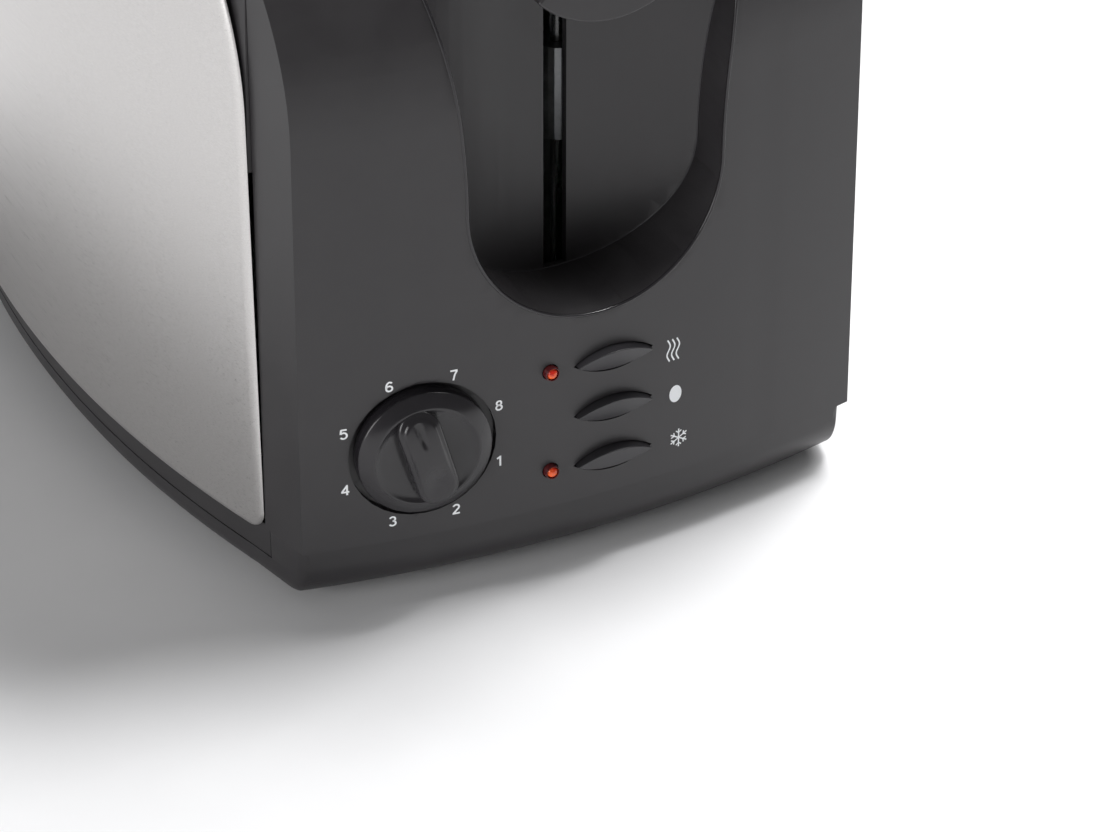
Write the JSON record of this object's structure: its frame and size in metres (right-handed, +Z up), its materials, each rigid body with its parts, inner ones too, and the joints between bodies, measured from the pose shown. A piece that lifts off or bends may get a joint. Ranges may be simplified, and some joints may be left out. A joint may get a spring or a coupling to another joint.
{
  "type": "pop-up toaster",
  "caption": "Pop-up toaster with bread slots in the top, brushed steel sides, black end caps, a lever in a U-shaped recess, a numbered browning dial and lens-shaped buttons.",
  "frame": {"origin": "on the surface it stands on, under the middle of the bounding box", "axes": "+Z up; +Y along the length, from the control end to the rear end; +X to the right seen from the control end"},
  "size_m": [0.2016, 0.2964, 0.19],
  "materials": {
    "black_plastic": "satin, fine moulded grain",
    "gloss_black_plastic": "smooth, glossy",
    "dark_plastic": "plain moulded",
    "brushed_steel": "brushed along the length",
    "zinc_plated_steel": "plain zinc-plated sheet",
    "bright_steel_wire": "bright drawn wire",
    "mica_board": "matt mica sheet",
    "circuit_board": "lacquered",
    "copper_winding": "enamelled wire",
    "rubber": "matt",
    "red_lens": "clear red, glossy"
  },
  "bodies": {
    "housing": {"base": "black_plastic", "front_cap": "black_plastic", "rear_cap": "black_plastic", "top_cover": "black_plastic", "left_side_panel": "brushed_steel", "right_side_panel": "brushed_steel", "left_side_rail": "black_plastic", "right_side_rail": "black_plastic", "left_reflector": "zinc_plated_steel", "right_reflector": "zinc_plated_steel", "left_heater": "mica_board", "right_heater": "mica_board", "centre_heater": "mica_board", "oven_front_plate": "zinc_plated_steel", "oven_rear_plate": "zinc_plated_steel", "guide_rod": "bright_steel_wire", "return_spring": "bright_steel_wire", "holding_magnet": "copper_winding", "control_board": "circuit_board", "upper_switch": "dark_plastic", "middle_switch": "dark_plastic", "lower_switch": "dark_plastic", "upper_lamp_lens": "red_lens", "lower_lamp_lens": "red_lens", "dial_potentiometer": "zinc_plated_steel", "cord_gland": "dark_plastic", "left_front_foot": "rubber", "left_rear_foot": "rubber", "right_front_foot": "rubber", "right_rear_foot": "rubber", "left_front_screw": "zinc_plated_steel", "left_rear_screw": "zinc_plated_steel", "right_front_screw": "zinc_plated_steel", "right_rear_screw": "zinc_plated_steel"},
    "lever_carriage": {"carriage": "zinc_plated_steel", "left_bread_lifter": "zinc_plated_steel", "right_bread_lifter": "zinc_plated_steel", "lever_arm": "bright_steel_wire", "lever_knob": "black_plastic", "armature": "zinc_plated_steel"},
    "guards_moving_right": {"left_slot_outer_guard": "bright_steel_wire", "right_slot_inner_guard": "bright_steel_wire"},
    "guards_moving_left": {"left_slot_inner_guard": "bright_steel_wire", "right_slot_outer_guard": "bright_steel_wire"},
    "dial": {"browning_dial": "gloss_black_plastic"},
    "upper_button": {"upper_button": "gloss_black_plastic"},
    "middle_button": {"middle_button": "gloss_black_plastic"},
    "lower_button": {"lower_button": "gloss_black_plastic"},
    "crumb_tray": {"crumb_tray": "zinc_plated_steel"}
  },
  "joints": [
    {"name": "lever_slide", "type": "slide", "parent": "housing", "child": "lever_carriage", "axis": [0, 0, 1], "range_m": [-0.068, 0], "stiffness_N_per_m": 60, "springref_m": 0.08, "deforming": ["return_spring"]},
    {"name": "guards_right_slide", "type": "slide", "parent": "housing", "child": "guards_moving_right", "axis": [1, 0, 0], "range_m": [0, 0.004]},
    {"name": "guards_left_slide", "type": "slide", "parent": "housing", "child": "guards_moving_left", "axis": [-1, 0, 0], "range_m": [0, 0.004]},
    {"name": "dial_turn", "type": "hinge", "parent": "housing", "child": "dial", "pos_m": [-0.0471, -0.13933, 0.046], "axis": [-0.1342, -0.991, 0], "range_deg": [-82.5, 232.5]},
    {"name": "upper_button_press", "type": "slide", "parent": "housing", "child": "upper_button", "axis": [0, 1, 0], "range_m": [0, 0.0015], "stiffness_N_per_m": 400, "springref_m": -0.0005},
    {"name": "middle_button_press", "type": "slide", "parent": "housing", "child": "middle_button", "axis": [0, 1, 0], "range_m": [0, 0.0015], "stiffness_N_per_m": 400, "springref_m": -0.0005},
    {"name": "lower_button_press", "type": "slide", "parent": "housing", "child": "lower_button", "axis": [0, 1, 0], "range_m": [0, 0.0015], "stiffness_N_per_m": 400, "springref_m": -0.0005},
    {"name": "crumb_tray_slide", "type": "slide", "parent": "housing", "child": "crumb_tray", "axis": [0, 1, 0], "range_m": [0, 0.19]}
  ],
  "couplings": [
    {"joint": "guards_right_slide", "follows": "lever_slide", "ratio": -0.0588},
    {"joint": "guards_left_slide", "follows": "lever_slide", "ratio": -0.0588}
  ]
}
